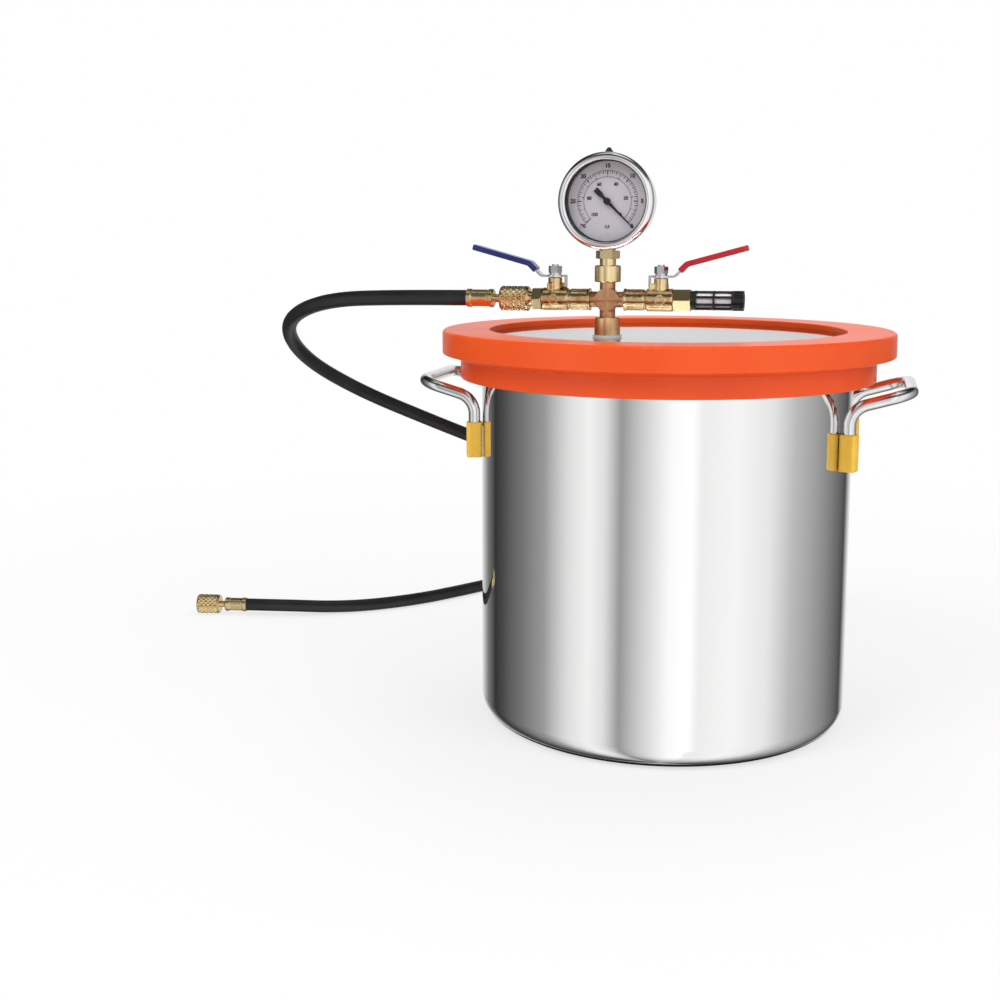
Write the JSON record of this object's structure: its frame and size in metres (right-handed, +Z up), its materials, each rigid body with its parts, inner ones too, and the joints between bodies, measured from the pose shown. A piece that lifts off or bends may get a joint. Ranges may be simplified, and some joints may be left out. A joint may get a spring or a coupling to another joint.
{
  "type": "vacuum chamber",
  "caption": "Stainless vacuum chamber with a clear lid in an orange silicone ring, a brass manifold with a gauge, blue and red lever valves, an air filter and a black hose.",
  "frame": {"origin": "on the floor, under the middle of the pot", "axes": "+Z up along the pot's axis; the gauge faces -Y; the manifold runs along X, with the air filter at +X and the hose at -X"},
  "size_m": [0.5972, 0.565, 0.3888],
  "materials": {
    "polished_steel": "mirror polished drawn stainless steel",
    "bright_rod": "polished stainless rod",
    "yellow_vinyl": "soft vinyl",
    "orange_silicone": "satin moulded silicone",
    "clear_acrylic": "clear cast acrylic",
    "black_rubber": "moulded rubber",
    "hose_rubber": "satin rubber cover",
    "gauge_glass": "clear flat window",
    "gauge_steel": "bright stainless",
    "dial_enamel": "white enamel",
    "pointer_paint": "black enamel",
    "black_nylon": "moulded nylon",
    "white_felt": "pressed felt",
    "ptfe": "turned PTFE",
    "blue_vinyl": "dipped vinyl",
    "red_vinyl": "dipped vinyl",
    "zinc_plate": "bright zinc plated steel",
    "brass": "machined and tumbled brass"
  },
  "bodies": {
    "chamber": {"blue_gland_ring": "brass", "blue_stem_packing": "ptfe", "blue_valve_body": "brass", "blue_valve_end": "brass", "blue_valve_seat_inner": "ptfe", "blue_valve_seat_outer": "ptfe", "bourdon_tube": "brass", "cross_fitting": "brass", "filter_cage": "black_nylon", "filter_cap": "black_nylon", "filter_felt": "white_felt", "gauge_bezel": "gauge_steel", "gauge_case": "gauge_steel", "gauge_coupling": "brass", "gauge_dial": "dial_enamel", "gauge_fill_plug": "black_rubber", "gauge_movement": "brass", "gauge_socket": "brass", "gauge_window": "gauge_glass", "gauge_window_seal": "black_rubber", "handle_left": "bright_rod", "handle_right": "bright_rod", "handle_sleeve_left_back": "yellow_vinyl", "handle_sleeve_left_front": "yellow_vinyl", "handle_sleeve_right_back": "yellow_vinyl", "handle_sleeve_right_front": "yellow_vinyl", "hose": "hose_rubber", "hose_ferrule_chamber_end": "brass", "hose_ferrule_pump_end": "brass", "hose_nipple_chamber_end": "brass", "hose_nipple_pump_end": "brass", "hose_nut_chamber_end": "brass", "hose_nut_pump_end": "brass", "lid_disc": "clear_acrylic", "lid_fitting": "brass", "lid_gasket": "orange_silicone", "lid_nut": "brass", "lid_washer_lower": "black_rubber", "lid_washer_upper": "black_rubber", "pot_shell": "polished_steel", "red_gland_ring": "brass", "red_stem_packing": "ptfe", "red_valve_body": "brass", "red_valve_end": "brass", "red_valve_seat_inner": "ptfe", "red_valve_seat_outer": "ptfe"},
    "blue_lever_set": {"blue_valve_ball": "zinc_plate", "blue_valve_stem": "brass", "blue_lever": "zinc_plate", "blue_lever_grip": "blue_vinyl", "blue_lever_washer": "zinc_plate", "blue_lever_nut": "zinc_plate"},
    "red_lever_set": {"red_valve_ball": "zinc_plate", "red_valve_stem": "brass", "red_lever": "zinc_plate", "red_lever_grip": "red_vinyl", "red_lever_washer": "zinc_plate", "red_lever_nut": "zinc_plate"},
    "gauge_needle": {"gauge_pointer": "pointer_paint", "pointer_arbor": "zinc_plate"}
  },
  "joints": [
    {"name": "blue_valve_turn", "type": "hinge", "parent": "chamber", "child": "blue_lever_set", "pos_m": [-0.0694, -0.039, 0.29], "axis": [0, 0, 1], "range_deg": [-90, 0]},
    {"name": "red_valve_turn", "type": "hinge", "parent": "chamber", "child": "red_lever_set", "pos_m": [0.0014, -0.039, 0.29], "axis": [0, 0, 1], "range_deg": [-90, 0]},
    {"name": "gauge_needle_turn", "type": "hinge", "parent": "chamber", "child": "gauge_needle", "pos_m": [-0.034, -0.039, 0.354], "axis": [0, -1, 0], "range_deg": [0, 270], "stiffness_Nm_per_rad": 0.0002}
  ]
}
